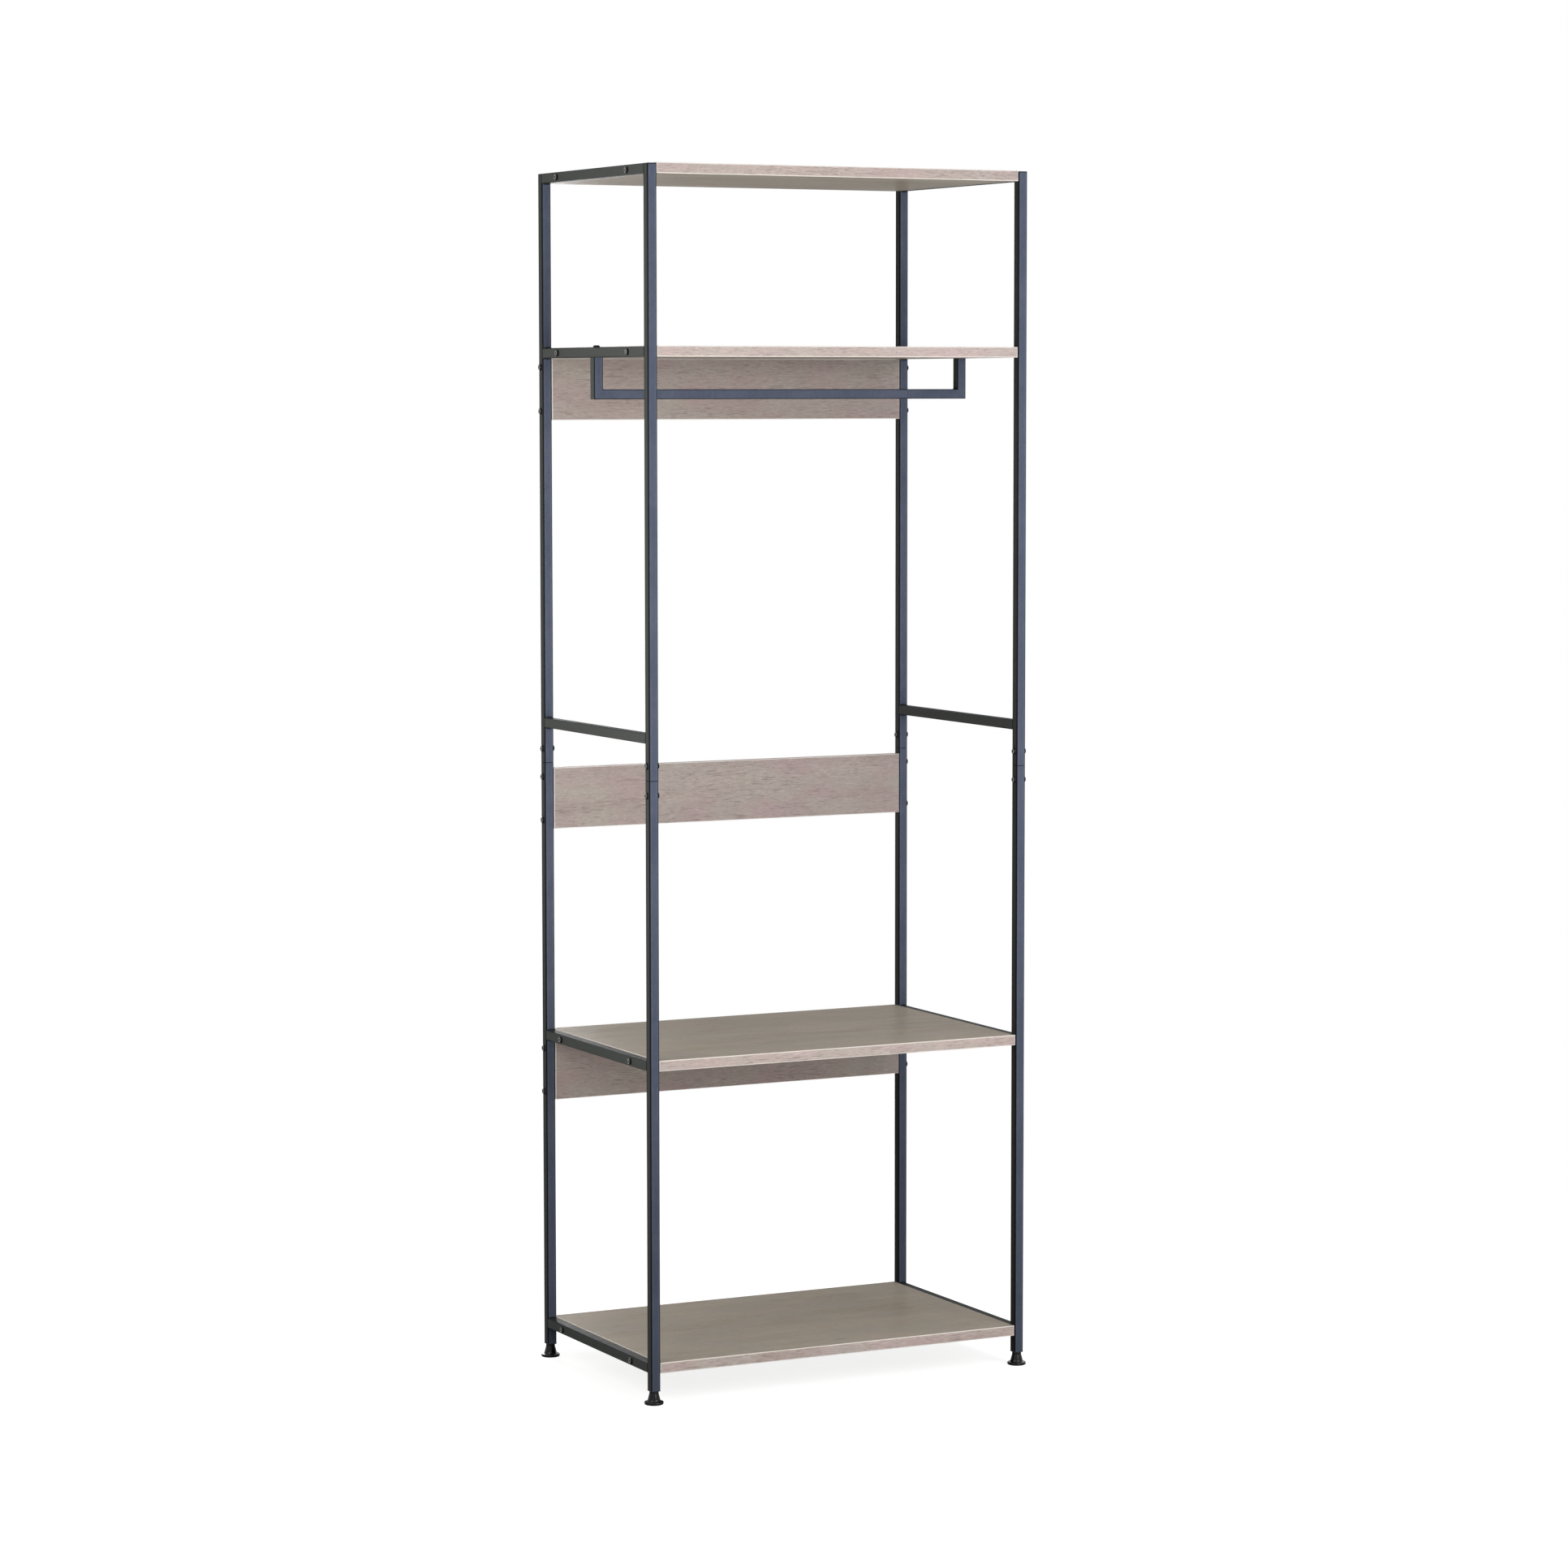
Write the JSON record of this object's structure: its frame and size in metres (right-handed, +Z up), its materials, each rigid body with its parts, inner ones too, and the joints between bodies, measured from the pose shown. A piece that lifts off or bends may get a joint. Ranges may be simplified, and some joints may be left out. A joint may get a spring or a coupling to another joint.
{
  "type": "clothes rack",
  "caption": "Tall open clothes rack: square-tube side frames, laminated shelves, narrow back panels, a U-shaped hanging bar and screw-in levelling feet.",
  "frame": {"origin": "on the floor, below the middle of the rack: the bottom centre of its bounding box", "axes": "+Z up, +X to the right seen from the front, +Y from the front to the back, where the panels are"},
  "size_m": [0.654, 0.414, 1.85],
  "materials": {
    "powder_coat": "matt",
    "laminate": "satin",
    "edging": "satin",
    "black_steel": "satin",
    "zinc_steel": "satin",
    "foot_plastic": "gloss",
    "plug_plastic": "matt"
  },
  "bodies": {
    "rack": {"back_left_foot_plug": "plug_plastic", "back_left_lower_post": "powder_coat", "back_left_splice": "black_steel", "back_left_upper_post": "powder_coat", "back_right_foot_plug": "plug_plastic", "back_right_lower_post": "powder_coat", "back_right_splice": "black_steel", "back_right_upper_post": "powder_coat", "bottom_shelf": "laminate", "bottom_shelf_edging": "edging", "front_left_foot_plug": "plug_plastic", "front_left_lower_post": "powder_coat", "front_left_splice": "black_steel", "front_left_upper_post": "powder_coat", "front_right_foot_plug": "plug_plastic", "front_right_lower_post": "powder_coat", "front_right_splice": "black_steel", "front_right_upper_post": "powder_coat", "hanging_bar": "powder_coat", "hanging_bar_bolts": "black_steel", "hanging_bar_left_leg": "powder_coat", "hanging_bar_nuts": "zinc_steel", "hanging_bar_right_leg": "powder_coat", "left_bottom_shelf_rail": "powder_coat", "left_lower_shelf_rail": "powder_coat", "left_middle_rail": "powder_coat", "left_top_rail": "powder_coat", "left_upper_shelf_rail": "powder_coat", "lower_back_panel": "laminate", "lower_back_panel_edging": "edging", "lower_shelf": "laminate", "lower_shelf_edging": "edging", "middle_back_panel": "laminate", "middle_back_panel_edging": "edging", "panel_inserts": "zinc_steel", "panel_screws": "black_steel", "right_bottom_shelf_rail": "powder_coat", "right_lower_shelf_rail": "powder_coat", "right_middle_rail": "powder_coat", "right_top_rail": "powder_coat", "right_upper_shelf_rail": "powder_coat", "shelf_inserts": "zinc_steel", "shelf_screws": "black_steel", "splice_screws": "black_steel", "top_shelf": "laminate", "top_shelf_edging": "edging", "upper_back_panel": "laminate", "upper_back_panel_edging": "edging", "upper_shelf": "laminate", "upper_shelf_edging": "edging"},
    "front_left_foot_screw": {"front_left_foot_stud": "zinc_steel"},
    "front_left_foot": {"front_left_foot_pad": "foot_plastic"},
    "front_right_foot_screw": {"front_right_foot_stud": "zinc_steel"},
    "front_right_foot": {"front_right_foot_pad": "foot_plastic"},
    "back_left_foot_screw": {"back_left_foot_stud": "zinc_steel"},
    "back_left_foot": {"back_left_foot_pad": "foot_plastic"},
    "back_right_foot_screw": {"back_right_foot_stud": "zinc_steel"},
    "back_right_foot": {"back_right_foot_pad": "foot_plastic"}
  },
  "joints": [
    {"name": "front_left_foot_travel", "type": "slide", "parent": "rack", "child": "front_left_foot_screw", "axis": [0, 0, -1], "range_m": [0, 0.01]},
    {"name": "front_left_foot_turn", "type": "hinge", "parent": "front_left_foot_screw", "child": "front_left_foot", "pos_m": [-0.3125, -0.1925, 0], "axis": [0, 0, -1], "range_deg": [0, 3600]},
    {"name": "front_right_foot_travel", "type": "slide", "parent": "rack", "child": "front_right_foot_screw", "axis": [0, 0, -1], "range_m": [0, 0.01]},
    {"name": "front_right_foot_turn", "type": "hinge", "parent": "front_right_foot_screw", "child": "front_right_foot", "pos_m": [0.3125, -0.1925, 0], "axis": [0, 0, -1], "range_deg": [0, 3600]},
    {"name": "back_left_foot_travel", "type": "slide", "parent": "rack", "child": "back_left_foot_screw", "axis": [0, 0, -1], "range_m": [0, 0.01]},
    {"name": "back_left_foot_turn", "type": "hinge", "parent": "back_left_foot_screw", "child": "back_left_foot", "pos_m": [-0.3125, 0.1925, 0], "axis": [0, 0, -1], "range_deg": [0, 3600]},
    {"name": "back_right_foot_travel", "type": "slide", "parent": "rack", "child": "back_right_foot_screw", "axis": [0, 0, -1], "range_m": [0, 0.01]},
    {"name": "back_right_foot_turn", "type": "hinge", "parent": "back_right_foot_screw", "child": "back_right_foot", "pos_m": [0.3125, 0.1925, 0], "axis": [0, 0, -1], "range_deg": [0, 3600]}
  ],
  "couplings": [
    {"joint": "front_left_foot_travel", "follows": "front_left_foot_turn", "m_per_rad": 0.00015915},
    {"joint": "front_right_foot_travel", "follows": "front_right_foot_turn", "m_per_rad": 0.00015915},
    {"joint": "back_left_foot_travel", "follows": "back_left_foot_turn", "m_per_rad": 0.00015915},
    {"joint": "back_right_foot_travel", "follows": "back_right_foot_turn", "m_per_rad": 0.00015915}
  ]
}
